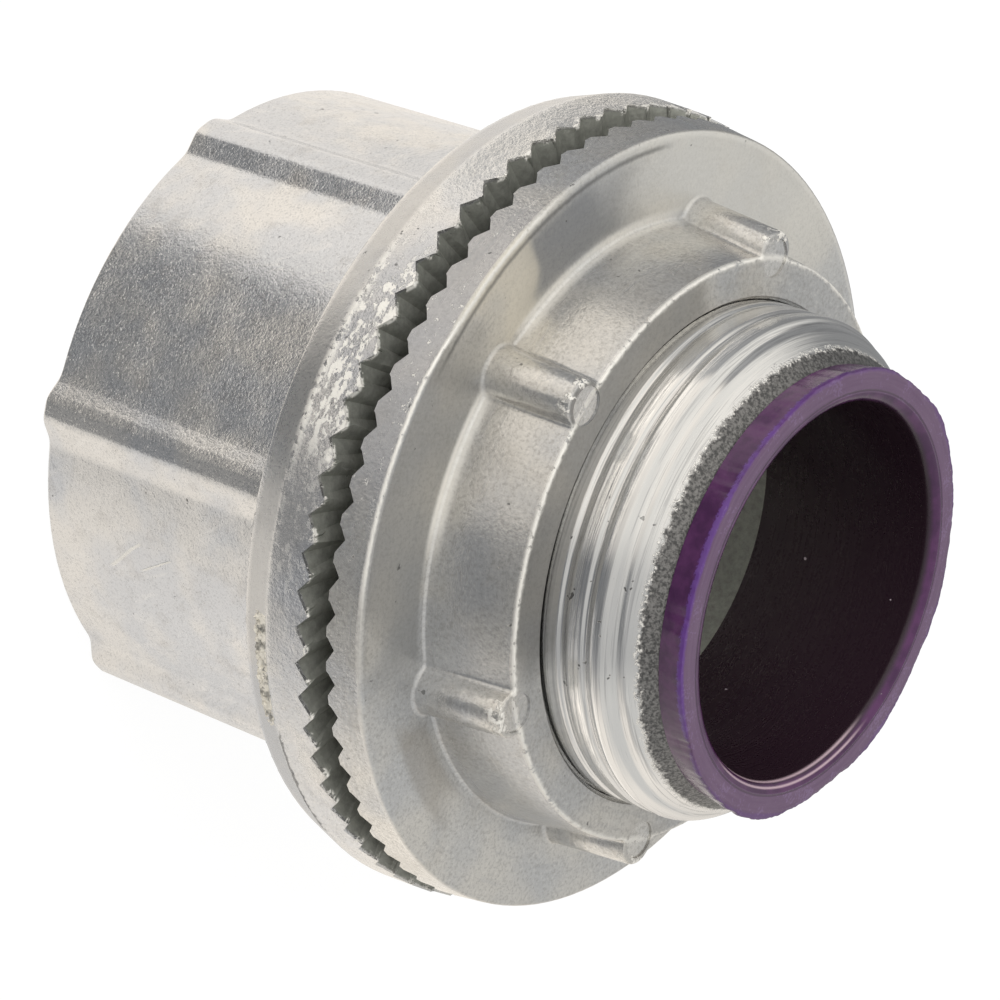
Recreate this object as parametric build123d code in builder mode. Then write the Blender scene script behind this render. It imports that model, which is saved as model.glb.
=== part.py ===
from build123d import *
import os
from math import pi

# Conduit hub, 1 inch trade size, with a lugged locknut and an insulated throat.
# Millimetres. +Z runs along the bore, from the conduit socket up to the threaded nipple,
# and the origin is the centre of the flat end that the conduit screws into.

# Barrel: the part of the casting that the conduit screws into
barrel_r = 21.82
barrel_length = 21.82
barrel_end_round = 0.27
rib_height = 0.91
rib_crest_width = 1.55
rib_foot_width = 4.11
rib_crest_round = 1.46
rib_foot_round = 1.83
rib_angles = (-57.5, 0.0, 54.5)
rib_side_angles = (-90.0, 90.0)

# Socket, at the size it is bored to before threading, with a wide lead for the conduit
socket_r = 14.7
socket_depth = 17.5
socket_mouth_r = 17.0
stop_bevel = 0.73

# Flange of the hub
flange_back_r = 26.3
flange_ridge_r = 27.07
flange_rim_r = 26.93
shoulder_height = 2.6
rim_height = 3.1
flange_foot_round = 0.73
flange_back_round = 0.37
ridge_round = 0.46

# Face teeth that bite into the wall of the box, one ring on the hub and one on the locknut
tooth_count = 70
hub_tooth_inner_r = 23.37
hub_tooth_depth = 1.02
hub_crest_land = 0.27
hub_root_round = 0.32
hub_gap_phase = 1.1
nut_tooth_inner_r = 23.0
nut_tooth_depth = 0.57
nut_crest_land = 0.55
nut_root_round = 0.55
nut_gap_phase = 2.5

# Groove in the hub's clamping face, and the ring that seals it against the box
seal_land = 0.96
seal_width = 3.45
seal_height = 2.2
seal_proud = 0.18
seal_side_gap = 0.15
seal_lip_round = 0.64
web_drop = 1.19

# Nipple, at the outer size of its thread
nipple_r = 16.7
nipple_length = 17.44
nipple_foot_round = 0.55
nipple_lead_length = 3.0
nipple_end_r = 14.38

# Locknut
panel_gap = 1.32
running_gap = 0.05
nut_face_r = 26.2
nut_back_r = 26.57
nut_flange_height = 2.51
nut_relief_depth = 0.91
nut_rim_round = 0.23
bore_lead = 0.25
collar_foot_r = 20.45
collar_top_r = 19.45
collar_height = 6.39
collar_foot_round = 0.27
collar_top_round = 0.23
lug_count = 6
lug_phase = -2.1
lug_foot_crest_r = 21.82
lug_top_crest_r = 21.18
lug_foot_r = 1.83
lug_top_r = 1.51
lug_blend = 0.37
pin_mark_centre_r = 19.45
pin_mark_r = 1.28
pin_mark_depth = 0.11

# Insulated throat, a flanged sleeve pressed into the nipple
throat_r = 12.42
liner_flange_r = 14.97
liner_back_r = 14.52
liner_flange_height = 1.92
liner_sleeve_length = 11.5
liner_wall = 0.78
liner_side_gap = 0.05
liner_lip_round = 0.82
liner_edge_round = 0.18

# Sizes that follow from the ones above
rib_sunk_width = 2 * rib_foot_width - rib_crest_width
ridge_z = barrel_length + shoulder_height
tip_z = ridge_z + rim_height
web_z = tip_z - web_drop
seal_floor_z = tip_z + seal_proud - seal_height
groove_outer_r = hub_tooth_inner_r - seal_land
seal_outer_r = groove_outer_r - seal_side_gap
seal_inner_r = seal_outer_r - seal_width
groove_inner_r = seal_inner_r - seal_side_gap
nipple_top_z = tip_z + nipple_length
pocket_r = throat_r + liner_wall + liner_side_gap
pocket_floor_z = nipple_top_z - liner_sleeve_length
mouth_lead = socket_mouth_r - socket_r
nut_tip_z = tip_z + panel_gap
nut_relief_z = nut_tip_z + nut_relief_depth
nut_face_z = nut_tip_z + nut_flange_height
collar_top_z = nut_face_z + collar_height
nut_bore_r = nipple_r + running_gap
liner_front_z = nipple_top_z + liner_flange_height
cut_margin = 1.0


def corner(section, radius, height):
    """The corner of a half section at a radius and a height."""
    return section.vertices().sort_by_distance((radius, height, 0))[0]


def reach(edge):
    """How far the middle of an edge lies from the axis."""
    middle = edge @ 0.5
    return (middle.X**2 + middle.Y**2) ** 0.5


def level(edge, height):
    """Whether an edge lies wholly at a height."""
    box = edge.bounding_box()
    return abs(box.min.Z - height) < 1e-3 and abs(box.max.Z - height) < 1e-3


def on_collar(edge):
    """Whether the middle of an upright edge lies on the sloping side of the collar."""
    return abs(reach(edge) - (collar_foot_r + collar_top_r) / 2) < 0.05


def tooth_gap(rim_r, inner_r, depth, crest_land, root_round):
    """The V-shaped gap between two face teeth, with the crests at height 0.

    It lies along X and narrows towards the Z axis in proportion to the radius, so that
    its flanks are flat and the teeth run in to a point on the axis, as in a face coupling.
    """
    half_width = (2 * pi * rim_r / tooth_count - crest_land) / 2
    with BuildPart() as gap:
        for station_r in (inner_r - cut_margin, rim_r + cut_margin):
            share = station_r / rim_r
            with BuildSketch(Plane.YZ.offset(station_r)) as gap_section:
                Polygon(
                    (0, -share * depth),
                    (share * half_width, 0),
                    (share * half_width, cut_margin),
                    (-share * half_width, cut_margin),
                    (-share * half_width, 0),
                    align=None,
                )
                fillet(gap_section.vertices().sort_by(Axis.Z)[0], share * root_round)
        loft()
    return gap.part


hub_gap = tooth_gap(flange_rim_r, hub_tooth_inner_r, hub_tooth_depth, hub_crest_land, hub_root_round)
nut_gap = tooth_gap(nut_back_r, nut_tooth_inner_r, nut_tooth_depth, nut_crest_land, nut_root_round)


# Hub body, one casting
with BuildPart() as hub_body:
    with BuildSketch(Plane.XY):
        Circle(barrel_r)
        for side_angle in rib_side_angles:
            for rib_angle in rib_angles:
                Polygon(
                    (barrel_r - rib_height, -rib_sunk_width / 2),
                    (barrel_r + rib_height, -rib_crest_width / 2),
                    (barrel_r + rib_height, rib_crest_width / 2),
                    (barrel_r - rib_height, rib_sunk_width / 2),
                    rotation=side_angle + rib_angle,
                    align=None,
                )
    extrude(amount=barrel_length)
    uprights = hub_body.edges().filter_by(Axis.Z)
    fillet([e for e in uprights if reach(e) > barrel_r + rib_height / 2], rib_crest_round)
    fillet([e for e in uprights if reach(e) < barrel_r + 1e-3], rib_foot_round)
    fillet(hub_body.faces().sort_by(Axis.Z)[0].edges(), barrel_end_round)
    with BuildSketch(Plane.XZ) as flange_section:
        with BuildLine():
            Polyline(
                (0, barrel_length),
                (flange_back_r, barrel_length),
                (flange_ridge_r, ridge_z),
                (flange_rim_r, tip_z),
                (hub_tooth_inner_r, tip_z),
                (hub_tooth_inner_r, web_z),
                (nipple_r, web_z),
                (nipple_r, nipple_top_z - nipple_lead_length),
                (nipple_end_r, nipple_top_z),
                (0, nipple_top_z),
                close=True,
            )
        make_face()
        fillet(corner(flange_section, flange_back_r, barrel_length), flange_back_round)
        fillet(corner(flange_section, flange_ridge_r, ridge_z), ridge_round)
        fillet(corner(flange_section, nipple_r, web_z), nipple_foot_round)
    revolve(axis=Axis.Z)
    flange_foot = [e for e in hub_body.edges() if level(e, barrel_length) and reach(e) < barrel_r + 2 * rib_height]
    fillet(flange_foot, flange_foot_round)
    with BuildSketch(Plane.XZ) as bore_section:
        with BuildLine():
            Polyline(
                (0, 0),
                (socket_mouth_r, 0),
                (socket_r, mouth_lead),
                (socket_r, socket_depth),
                (throat_r, socket_depth + stop_bevel),
                (throat_r, pocket_floor_z),
                (pocket_r, pocket_floor_z),
                (pocket_r, nipple_top_z),
                (0, nipple_top_z),
                close=True,
            )
        make_face()
    revolve(axis=Axis.Z, mode=Mode.SUBTRACT)
    with BuildSketch(Plane.XY.offset(seal_floor_z)):
        Circle(groove_outer_r)
        Circle(groove_inner_r, mode=Mode.SUBTRACT)
    extrude(amount=web_z - seal_floor_z, mode=Mode.SUBTRACT)
    with Locations((0, 0, tip_z)):
        with PolarLocations(0, tooth_count, start_angle=hub_gap_phase):
            add(hub_gap, mode=Mode.SUBTRACT)


# Sealing ring, a flat ring of rubber with a rounded lip, lying in the groove
with BuildPart() as sealing_ring:
    with BuildSketch(Plane.XZ) as seal_section:
        with BuildLine():
            Polyline(
                (seal_inner_r, seal_floor_z),
                (seal_outer_r, seal_floor_z),
                (seal_outer_r, seal_floor_z + seal_height),
                (seal_inner_r, seal_floor_z + seal_height),
                close=True,
            )
        make_face()
        fillet(corner(seal_section, seal_outer_r, seal_floor_z + seal_height), seal_lip_round)
        fillet(corner(seal_section, seal_inner_r, seal_floor_z + seal_height), seal_lip_round)
    revolve(axis=Axis.Z)


# One lug of the locknut, narrowing and leaning in towards its top
with BuildPart() as lug:
    with BuildSketch(Plane.XY.offset(nut_face_z)):
        with Locations((lug_foot_crest_r - lug_foot_r, 0)):
            Circle(lug_foot_r)
    with BuildSketch(Plane.XY.offset(collar_top_z)):
        with Locations((lug_top_crest_r - lug_top_r, 0)):
            Circle(lug_top_r)
    loft()


# Locknut, a toothed flange with a collar that six lugs stand out from
with BuildPart() as locknut:
    with BuildSketch(Plane.XZ) as nut_section:
        with BuildLine():
            Polyline(
                (nut_bore_r + bore_lead, nut_relief_z),
                (nut_tooth_inner_r, nut_relief_z),
                (nut_tooth_inner_r, nut_tip_z),
                (nut_back_r, nut_tip_z),
                (nut_face_r, nut_face_z),
                (collar_foot_r, nut_face_z),
                (collar_top_r, collar_top_z),
                (nut_bore_r + bore_lead, collar_top_z),
                (nut_bore_r, collar_top_z - bore_lead),
                (nut_bore_r, nut_relief_z + bore_lead),
                close=True,
            )
        make_face()
        fillet(corner(nut_section, nut_face_r, nut_face_z), nut_rim_round)
    revolve(axis=Axis.Z)
    with PolarLocations(0, lug_count, start_angle=lug_phase):
        add(lug.part)
    tall = [e for e in locknut.edges() if e.bounding_box().size.Z > collar_height - 1e-3]
    fillet([e for e in tall if on_collar(e)], lug_blend)
    feet = [e for e in locknut.edges() if level(e, nut_face_z) and reach(e) < lug_foot_crest_r + 1e-3]
    fillet(feet, collar_foot_round)
    tops = [e for e in locknut.edges() if level(e, collar_top_z) and reach(e) > nut_bore_r + 2 * bore_lead]
    fillet(tops, collar_top_round)
    with Locations((0, 0, nut_tip_z)):
        with PolarLocations(0, tooth_count, start_angle=nut_gap_phase):
            add(nut_gap, rotation=(180, 0, 0), mode=Mode.SUBTRACT)
    with Locations((0, 0, collar_top_z)):
        with PolarLocations(pin_mark_centre_r, lug_count, start_angle=lug_phase):
            Cylinder(pin_mark_r, 2 * pin_mark_depth, mode=Mode.SUBTRACT)


# Insulated throat, butting on the floor of its pocket and seated on the end of the nipple
with BuildPart() as insulating_throat:
    with BuildSketch(Plane.XZ) as liner_section:
        with BuildLine():
            Polyline(
                (throat_r, pocket_floor_z),
                (throat_r + liner_wall, pocket_floor_z),
                (throat_r + liner_wall, nipple_top_z),
                (liner_back_r, nipple_top_z),
                (liner_flange_r, liner_front_z),
                (throat_r, liner_front_z),
                close=True,
            )
        make_face()
        fillet(corner(liner_section, throat_r, liner_front_z), liner_lip_round)
        fillet(corner(liner_section, liner_flange_r, liner_front_z), liner_edge_round)
    revolve(axis=Axis.Z)


hub_body.part.label = "hub_body"
sealing_ring.part.label = "sealing_ring"
locknut.part.label = "locknut"
insulating_throat.part.label = "insulating_throat"

os.makedirs("parts", exist_ok=True)
export_step(hub_body.part, "parts/hub_body.step")
export_step(sealing_ring.part, "parts/sealing_ring.step")
export_step(locknut.part, "parts/locknut.step")
export_step(insulating_throat.part, "parts/insulating_throat.step")
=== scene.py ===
# %% [markdown]
# # A conduit hub with its locknut
#
# This part screws onto the end of a steel conduit, goes through a hole in the wall of an
# electrical box, and is clamped there by its locknut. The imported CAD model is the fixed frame:
# every piece made here sits where the CAD says, in metres, and moves with one of its bodies.

import math

import bmesh
import bpy
import numpy as np
from mathutils import Matrix, Vector, noise


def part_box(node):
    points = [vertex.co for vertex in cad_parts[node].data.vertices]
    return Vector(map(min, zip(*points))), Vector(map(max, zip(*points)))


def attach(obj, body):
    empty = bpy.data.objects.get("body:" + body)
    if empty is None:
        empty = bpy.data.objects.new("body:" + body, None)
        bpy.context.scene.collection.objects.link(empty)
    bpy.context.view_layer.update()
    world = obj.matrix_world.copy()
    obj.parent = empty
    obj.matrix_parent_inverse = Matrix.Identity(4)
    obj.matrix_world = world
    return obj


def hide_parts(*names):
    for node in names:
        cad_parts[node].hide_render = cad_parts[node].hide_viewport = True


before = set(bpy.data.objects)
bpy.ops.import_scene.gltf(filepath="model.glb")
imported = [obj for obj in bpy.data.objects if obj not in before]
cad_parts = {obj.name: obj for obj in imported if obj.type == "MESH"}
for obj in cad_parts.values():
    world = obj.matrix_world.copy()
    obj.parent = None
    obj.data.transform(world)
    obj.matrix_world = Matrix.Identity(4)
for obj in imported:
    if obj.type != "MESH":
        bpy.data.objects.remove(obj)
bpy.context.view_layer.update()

# %% [markdown]
# ## The sizes that the pieces share
#
# The photograph was measured in a unit of its own, before the 1 inch size of the nut set the real
# scale, and every length here stays in that unit, which is 0.913 mm. Heights come from the boxes of
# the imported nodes, so that a piece made here follows the CAD when the CAD changes. The few sizes
# that no box tells are named once, from their millimetres.

# %% Sizes in units
SCALE = 0.913
UNIT = SCALE / 1000
NIPPLE_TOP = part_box("hub_body")[1].z / UNIT
NUT_TIP, COLLAR_TOP = (corner.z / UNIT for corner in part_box("locknut"))
THROAT_FLOOR, THROAT_FRONT = (corner.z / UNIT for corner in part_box("insulating_throat"))
PANEL_GAP = 1.32 / SCALE
NUT_FLANGE = 2.51 / SCALE
RIM_HEIGHT = 3.1 / SCALE
TOOTH_TIP = NUT_TIP - PANEL_GAP
RIDGE = TOOTH_TIP - RIM_HEIGHT
NUT_FACE = NUT_TIP + NUT_FLANGE
TOOTH_INNER_R = 23.37 / SCALE
RIM_R = 26.93 / SCALE
NIPPLE_R = 16.7 / SCALE
NIPPLE_END_R = 14.38 / SCALE
NIPPLE_LEAD = 3.0 / SCALE
SOCKET_R = 14.7 / SCALE
SOCKET_MOUTH_R = 17.0 / SCALE
SOCKET_DEPTH = 17.5 / SCALE
THROAT_R = 12.42 / SCALE
NIPPLE_PITCH = 25.4 / 14 / SCALE
SOCKET_PITCH = 25.4 / 11.5 / SCALE
print("tooth tips at", round(TOOTH_TIP, 2), "and ridge at", round(RIDGE, 2))

# %% [markdown]
# ## The camera
#
# The photograph shows the hub lying on its side, but the model stands on its socket end, so the
# camera is rolled instead. Its place comes from matching the round edges of the flange, the nut
# and the throat with ellipses in the picture. A long lens from 27 cm away gives the same mild
# perspective.

# %% Camera
CAMERA_PLACE = Vector((-58.318, -226.218, 186.030)) * UNIT
CAMERA_AHEAD = Vector((0.209674, 0.793114, -0.571845))
CAMERA_UP = Vector((-0.958736, 0.051923, -0.279517))
LENS_MM = 140.8
SENSOR_MM = 36.0

camera_data = bpy.data.cameras.new("camera")
camera_data.lens = LENS_MM
camera_data.sensor_width = SENSOR_MM
camera_data.clip_start = 0.01
camera_data.clip_end = 20.0
camera = bpy.data.objects.new("camera", camera_data)
bpy.context.scene.collection.objects.link(camera)
camera_right = CAMERA_AHEAD.cross(CAMERA_UP).normalized()
camera_up = camera_right.cross(CAMERA_AHEAD).normalized()
turn = Matrix((camera_right, camera_up, -CAMERA_AHEAD.normalized())).transposed()
camera.matrix_world = Matrix.Translation(CAMERA_PLACE) @ turn.to_4x4()
bpy.context.scene.camera = camera
bpy.context.scene.view_settings.view_transform = "Standard"
print("camera right:", [round(v, 3) for v in camera_right])

# %% [markdown]
# ## Writing node trees as sums
#
# A material or a Geometry Nodes tree is easier to read as arithmetic than as a web of nodes.
# `Number` wraps one socket, so that `1 - mask * 0.5` adds the Math nodes by itself. `Graph.add`
# makes any other node from its type, its settings and what goes into its sockets.


# %% Helpers for node trees
class Number:
    """A number that a node tree works out."""

    def __init__(self, graph, socket):
        self.graph = graph
        self.socket = socket

    def maths(self, operation, *others):
        return self.graph.maths(operation, self, *others)

    def __add__(self, other):
        return self.maths("ADD", other)

    def __sub__(self, other):
        return self.maths("SUBTRACT", other)

    def __mul__(self, other):
        return self.maths("MULTIPLY", other)

    def __truediv__(self, other):
        return self.maths("DIVIDE", other)

    def __neg__(self):
        return self.maths("MULTIPLY", -1.0)

    def __radd__(self, other):
        return self.graph.maths("ADD", other, self)

    def __rsub__(self, other):
        return self.graph.maths("SUBTRACT", other, self)

    def __rmul__(self, other):
        return self.graph.maths("MULTIPLY", other, self)

    def __rtruediv__(self, other):
        return self.graph.maths("DIVIDE", other, self)


class Graph:
    """A node tree that is written as expressions."""

    def __init__(self, tree):
        self.tree = tree
        self.tree.nodes.clear()

    def add(self, kind, settings=None, sockets=None):
        """Adds a node of any kind: its settings first, then the values or links of its sockets."""
        node = self.tree.nodes.new(kind)
        for name, value in (settings or {}).items():
            if name == "stops":
                self.set_stops(node.color_ramp.elements, value)
            else:
                setattr(node, name, value)
        for key, value in (sockets or {}).items():
            if isinstance(value, Number):
                value = value.socket
            if isinstance(value, bpy.types.NodeSocket):
                self.tree.links.new(value, node.inputs[key])
            else:
                node.inputs[key].default_value = value
        return node

    def set_stops(self, elements, stops):
        """Gives a colour ramp its stops, each a place from 0 to 1 and a colour."""
        while len(elements) < len(stops):
            elements.new(1.0)
        for element, (place, colour) in zip(elements, stops):
            element.position = place
            element.color = colour

    def ramp(self, value, stops):
        """A colour that follows a list of stops as the value goes from 0 to 1."""
        return self.add("ShaderNodeValToRGB", {"stops": stops}, {0: value}).outputs[0]

    def maths(self, operation, *terms):
        node = self.add("ShaderNodeMath", {"operation": operation}, dict(enumerate(terms)))
        return Number(self, node.outputs[0])

    def mix(self, share, first, second):
        """A colour that goes from the first to the second as share goes from 0 to 1."""
        node = self.add("ShaderNodeMix", {"data_type": "RGBA"}, {0: share, 6: first, 7: second})
        return node.outputs[2]

    def blend(self, share, first, second):
        """A shader that goes from the first to the second as share goes from 0 to 1."""
        sockets = {0: share, 1: first.outputs[0], 2: second.outputs[0]}
        return self.add("ShaderNodeMixShader", None, sockets)

    def strongest(self, first, *others):
        """The greatest of several masks at every point."""
        for other in others:
            first = first.maths("MAXIMUM", other)
        return first

    def slope(self, value, low, high, at_low, at_high):
        """Goes smoothly from at_low to at_high as the value goes from low to high."""
        sockets = {0: value, 1: low, 2: high, 3: at_low, 4: at_high}
        node = self.add("ShaderNodeMapRange", {"interpolation_type": "SMOOTHSTEP"}, sockets)
        return Number(self, node.outputs[0])

    def step(self, value, low, high):
        """0 below low, 1 above high, and a smooth rise between."""
        return self.slope(value, low, high, 0.0, 1.0)

    def near(self, value, centre, reach):
        """1 at the centre, falling smoothly to 0 at a reach on either side."""
        return self.slope((value - centre).maths("ABSOLUTE"), 0.0, reach, 1.0, 0.0)

    def band(self, value, centre, reach, soft):
        """1 within a reach of the centre, and 0 beyond a soft edge."""
        return self.slope((value - centre).maths("ABSOLUTE"), reach, reach + soft, 1.0, 0.0)

    def vector(self, x, y, z):
        return self.add("ShaderNodeCombineXYZ", None, {0: x, 1: y, 2: z}).outputs[0]

    def parts(self, vector):
        node = self.add("ShaderNodeSeparateXYZ", None, {0: vector})
        return [Number(self, socket) for socket in node.outputs]

    def noise(self, vector, scale, detail=2.0, roughness=0.5):
        sockets = {"Vector": vector, "Scale": scale, "Detail": detail, "Roughness": roughness}
        node = self.add("ShaderNodeTexNoise", {"noise_dimensions": "3D"}, sockets)
        return Number(self, node.outputs[0])


def grey(level):
    return (level, level, level, 1.0)


# %% [markdown]
# ## The studio
#
# The real hub lies on a white table in a room with one broad soft light. Bare metal is little more
# than a mirror of that room, so the world is drawn by direction. Its panels stand round the axis of
# the hub, where a turned surface shows them as bands along its length: a bright one over the hub, a
# dark one in front, where the camera stands, and the warm table below. Rays that leave the nipple
# and the nut meet a second row of panels, with a white one in front. The camera itself sees plain
# white. Rough and painted surfaces take most of their light from one soft lamp, which shiny ones
# don't mirror.

# %% World
PANELS_START = 67.0
ROW_BORDER = -0.562
ROW_SOFTNESS = 0.008
HUB_PANELS = (
    (0, 0.98), (110, 0.95), (141, 0.88), (151, 0.15), (185, 0.15), (224, 0.19),
    (236, 0.74), (262, 0.88), (300, 0.84), (330, 0.76), (360, 0.90),
)
NIPPLE_PANELS = (
    (0, 0.32), (62, 0.20), (88, 0.32), (114, 0.44), (120, 1.28), (156, 1.30), (172, 1.20),
    (180, 1.00), (199, 0.92), (208, 0.24), (232, 0.20), (248, 0.46), (264, 0.90), (276, 1.18),
    (312, 1.22), (345, 1.05),
)
WARM_PANEL = (0.84, 0.82, 0.78, 1)
DULL_PANEL = (0.62, 0.615, 0.60, 1)


def panel_stops(panels):
    """Stops of a colour ramp round the axis, warm where a panel is bright and bluish where dark."""
    stops = []
    for degrees_round, level in panels:
        warmth = min(level, 1.0) * 0.12 - 0.06
        colour = (level * (1 + warmth), level, level * (1 - warmth * 1.3), 1.0)
        stops.append((degrees_round / 360, colour))
    return stops


world = bpy.data.worlds.new("studio")
bpy.context.scene.world = world
world.use_nodes = True
room = Graph(world.node_tree)
ray_x, ray_y, ray_z = room.parts(room.add("ShaderNodeTexCoord").outputs["Generated"])
turn = ray_y.maths("ARCTAN2", ray_x).maths("DEGREES") - PANELS_START
turn = turn.maths("WRAP", 360.0, 0.0) / 360
hub_row = room.ramp(turn, panel_stops(HUB_PANELS))
nipple_row = room.ramp(turn, panel_stops(NIPPLE_PANELS))
nipple_row = room.mix(room.step(ray_z, -0.50, -0.42) * 0.4, nipple_row, grey(0.24))
ahead = room.mix(room.step(ray_y * 0.5 + ray_x, -0.9, 0.5), WARM_PANEL, DULL_PANEL)
in_nipple_row = room.step(ray_z, ROW_BORDER - ROW_SOFTNESS, ROW_BORDER + ROW_SOFTNESS)
glow = room.mix(in_nipple_row, hub_row, nipple_row)
glow = room.mix(room.step(ray_z, 0.0, 0.4), glow, ahead)
lit = room.add("ShaderNodeBackground", None, {"Color": glow, "Strength": 1.0})
seen = room.add("ShaderNodeBackground", None, {"Color": grey(1.0), "Strength": 1.0})
is_camera = room.add("ShaderNodeLightPath").outputs["Is Camera Ray"]
both = room.blend(is_camera, lit, seen)
room.add("ShaderNodeOutputWorld", None, {"Surface": both.outputs[0]})
print("world nodes:", len(world.node_tree.nodes))

# %% The soft lamp
LAMP_SIDE = Vector((-0.62, -0.52, 0.58))
LAMP_STRENGTH = 1.5
LAMP_ANGLE = math.radians(50.0)

lamp_data = bpy.data.lights.new("soft_lamp", "SUN")
lamp_data.energy = LAMP_STRENGTH
lamp_data.angle = LAMP_ANGLE
lamp = bpy.data.objects.new("soft_lamp", lamp_data)
lamp.rotation_euler = LAMP_SIDE.to_track_quat("Z", "Y").to_euler()
lamp.visible_glossy = False
bpy.context.scene.collection.objects.link(lamp)
print("lamp from", [round(v, 2) for v in LAMP_SIDE.normalized()])

# %% [markdown]
# ## The floor
#
# The model stands upright on a white floor, but the photographed hub lies on its side, where the
# world above already draws its table. So the floor is there for the camera only: other rays pass
# through it, and it takes a faint shadow of the hub.

# %% Floor
FLOOR_REACH = 3.0
FLOOR_GREY = 0.85
FLOOR_GLOW = 1.08
GLOW_SHARE = 0.85

floor_mesh = bpy.data.meshes.new("floor")
sides = ((-1, -1), (1, -1), (1, 1), (-1, 1))
corners = [(x * FLOOR_REACH, y * FLOOR_REACH, 0.0) for x, y in sides]
floor_mesh.from_pydata(corners, [], [(0, 1, 2, 3)])
floor = bpy.data.objects.new("floor", floor_mesh)
bpy.context.scene.collection.objects.link(floor)
floor_material = bpy.data.materials.new("white_floor")
floor_material.use_nodes = True
ground = Graph(floor_material.node_tree)
matte = ground.add("ShaderNodeBsdfDiffuse", None, {"Color": grey(FLOOR_GREY)})
bright = ground.add("ShaderNodeEmission", None, {"Color": grey(1.0), "Strength": FLOOR_GLOW})
clear = ground.add("ShaderNodeBsdfTransparent")
is_camera = ground.add("ShaderNodeLightPath").outputs["Is Camera Ray"]
shown = ground.blend(is_camera, clear, ground.blend(GLOW_SHARE, matte, bright))
ground.add("ShaderNodeOutputMaterial", None, {"Surface": shown.outputs[0]})
floor_mesh.materials.append(floor_material)
print("floor reaches", FLOOR_REACH, "m each way")

# %% [markdown]
# ## Reading a surface in units
#
# Wear, stains and grime sit at places on the part: on a tooth tip, in a groove, round an edge. All
# of those are easy to say as a distance from the axis, a height and an angle, so every material
# here starts from these three, worked out from Object coordinates. Object coordinates move with
# the piece, and so the pattern stays on it when the nut turns.


# %% A material with its coordinates
class Surface(Graph):
    """The node tree of a material, with the coordinates that its masks are written in."""

    def __init__(self, name):
        self.material = bpy.data.materials.new(name)
        self.material.use_nodes = True
        super().__init__(self.material.node_tree)
        metres = self.add("ShaderNodeTexCoord").outputs["Object"]
        sockets = {0: metres, "Scale": 1 / UNIT}
        scaled = self.add("ShaderNodeVectorMath", {"operation": "SCALE"}, sockets)
        self.place = scaled.outputs[0]
        self.x, self.y, self.z = self.parts(self.place)
        self.reach = (self.x * self.x + self.y * self.y).maths("SQRT")
        self.angle = (-self.y).maths("ARCTAN2", -self.x).maths("DEGREES") + 180

    def turned(self, centre):
        """How many degrees the angle lies past a centre, from -180 to 180."""
        return (self.angle - centre).maths("WRAP", 180.0, -180.0)

    def window(self, centre, reach, soft):
        """1 within a reach in degrees of a centre, and 0 beyond a soft edge."""
        return self.band(self.turned(centre), 0.0, reach, soft)

    def around(self, along, out, up):
        """A vector that runs round the axis, with its own scale along, outwards and upwards."""
        return self.vector(self.angle * along, self.reach * out, self.z * up)

    def scratch(self, start, end, width):
        """A line between two points, each an angle in degrees and a height."""
        run_angle = end[0] - start[0]
        run_height = end[1] - start[1]
        across = self.turned(start[0]) / run_angle
        bend = self.noise(self.place, 0.7) - 0.5
        off = (self.z - start[1] - across * run_height + bend * 0.5).maths("ABSOLUTE")
        ends = self.step(across, 0.0, 0.12) * (1 - self.step(across, 0.85, 1.0))
        return self.slope(off, width * 0.3, width, 1.0, 0.0) * ends

    def finish(self, colour, roughness, height, metallic=1.0):
        """Closes the tree with one Principled shader; height is a bump in units."""
        sockets = {"Strength": 1.0, "Distance": UNIT, "Height": height}
        bump = self.add("ShaderNodeBump", None, sockets)
        sockets = {"Base Color": colour, "Roughness": roughness, "Metallic": metallic}
        sockets["Normal"] = bump.outputs["Normal"]
        shader = self.add("ShaderNodeBsdfPrincipled", None, sockets)
        self.add("ShaderNodeOutputMaterial", None, {"Surface": shader.outputs[0]})
        print(self.material.name, "has", len(self.tree.nodes), "nodes")
        return self.material


# %% [markdown]
# ## Cast zinc
#
# The hub is a zinc die casting that was never polished: a fine pebbled skin that breaks up every
# reflection, dark pits, pale oxide, grey stains, and edges rubbed bright. One picture of rust or
# dirt stretched over it would not know where the edges are, so each mark is a noise cut off at a
# level, kept to its place by radius, height and angle. The marks that stand up or lie deep also go
# into the bump, because light catches them. Each side below is an angle round the axis in degrees.
# Some colours are painted light and shade: a painted highlight on one side of the rim, painted
# shade on two other sides of it, and painted shade in the gaps between the teeth, under the nut.

# %% The hub's casting
PALE = (0.92, 0.90, 0.85, 1)
# A dark colour for pits, seams and dirt, also used for painted shade inside the nut's rim
GRIME_AND_SHADE = (0.10, 0.10, 0.10, 1)
BORE_R = 15.0
BARREL_END = 23.9
RIM_UP = TOOTH_TIP - RIDGE
# The side where the pale marks of the hub's rim and the nut's rim are strongest, and where the
# nut's collar takes painted shade
PALE_RIM_SIDE = 246.0
# The rim takes painted shade on the first of these sides, a painted highlight on the second and
# softer painted shade on the third.
RIM_SHADE_SIDE = 258.0
RIM_HIGHLIGHT_SIDE = 194.0
RIM_SOFT_SHADE_SIDE = 318.0
SEAM_SIDE = 312.0

cast = Surface("cast_zinc")
cloud = cast.noise(cast.place, 0.13, 3.0, 0.6)
skin = cast.noise(cast.place, 5.5, 1.0, 0.7)
coarse = cast.noise(cast.place, 1.9, 3.0, 0.75)
patches = cast.noise(cast.place, 0.45, 4.0, 0.7)
waves = cast.noise(cast.place, 0.22, 1.0, 0.5)
strokes = cast.noise(cast.around(1.9, 4.0, 10.0), 1.0, 1.0)
swipes = cast.noise(cast.vector(cast.x + cast.z * 0.6, cast.y, cast.z * 0.12), 0.9, 2.0, 0.6)

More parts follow.
